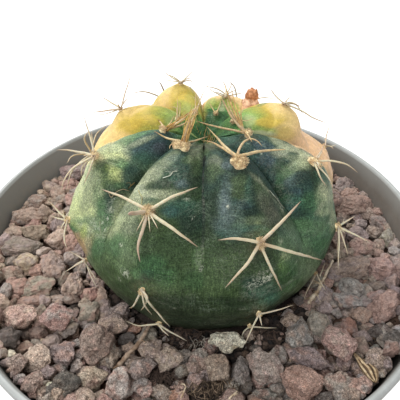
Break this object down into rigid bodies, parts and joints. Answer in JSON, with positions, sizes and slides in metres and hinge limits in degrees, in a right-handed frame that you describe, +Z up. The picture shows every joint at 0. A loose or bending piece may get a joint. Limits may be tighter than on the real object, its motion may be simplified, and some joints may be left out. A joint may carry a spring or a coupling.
{
  "type": "potted chin cactus",
  "caption": "Globular ribbed cactus with curved straw-coloured spines, variegated green and yellow, in a round tapered plastic pot dressed with lava gravel.",
  "frame": {"origin": "centre of the pot's foot, on the surface that it stands on", "axes": "+Z up along the pot's axis, -Y towards the front of the plant as usually seen, +X to its right"},
  "size_m": [0.105, 0.105, 0.1151],
  "materials": {
    "pot_plastic": "satin",
    "stem_skin": "satin",
    "potting_mix": "matte",
    "lava_gravel": "matte",
    "lava_brown": "matte",
    "lava_red": "matte",
    "lava_grey": "matte",
    "pale_stone": "matte",
    "spine_straw": "satin",
    "dried_flower": "matte",
    "twig_bark": "matte",
    "dry_straw": "matte"
  },
  "bodies": {
    "root": {"pot": "pot_plastic", "cactus_stem": "stem_skin", "potting_mix": "potting_mix", "gravel_bed": "lava_gravel", "pale_pebble": "pale_stone", "lava_pebble_1": "lava_brown", "lava_pebble_2": "lava_brown", "lava_pebble_3": "lava_red", "lava_pebble_4": "lava_red", "lava_pebble_5": "lava_brown", "lava_pebble_6": "lava_red", "lava_pebble_7": "lava_brown", "lava_pebble_8": "lava_grey", "lava_pebble_9": "lava_brown", "lava_pebble_10": "lava_grey", "areole_spines_b1": "spine_straw", "areole_spines_b2": "spine_straw", "areole_spines_b3": "spine_straw", "areole_spines_b4": "spine_straw", "areole_spines_h1": "spine_straw", "areole_spines_h2": "spine_straw", "areole_spines_h3": "spine_straw", "areole_spines_h4": "spine_straw", "areole_spines_g1": "spine_straw", "areole_spines_g2": "spine_straw", "areole_spines_g3": "spine_straw", "areole_spines_g4": "spine_straw", "areole_spines_f1": "spine_straw", "areole_spines_f2": "spine_straw", "areole_spines_f3": "spine_straw", "areole_spines_f4": "spine_straw", "areole_spines_e1": "spine_straw", "areole_spines_e2": "spine_straw", "areole_spines_e3": "spine_straw", "areole_spines_e4": "spine_straw", "areole_spines_d1": "spine_straw", "areole_spines_d2": "spine_straw", "areole_spines_d3": "spine_straw", "areole_spines_d4": "spine_straw", "areole_spines_c1": "spine_straw", "areole_spines_c2": "spine_straw", "areole_spines_c3": "spine_straw", "areole_spines_c4": "spine_straw", "areole_spines_a1": "spine_straw", "areole_spines_a2": "spine_straw", "areole_spines_a3": "spine_straw", "areole_spines_a4": "spine_straw", "withered_flower": "dried_flower", "dry_twig": "twig_bark", "dry_stalk": "dry_straw", "dry_husk": "dry_straw"}
  },
  "joints": []
}
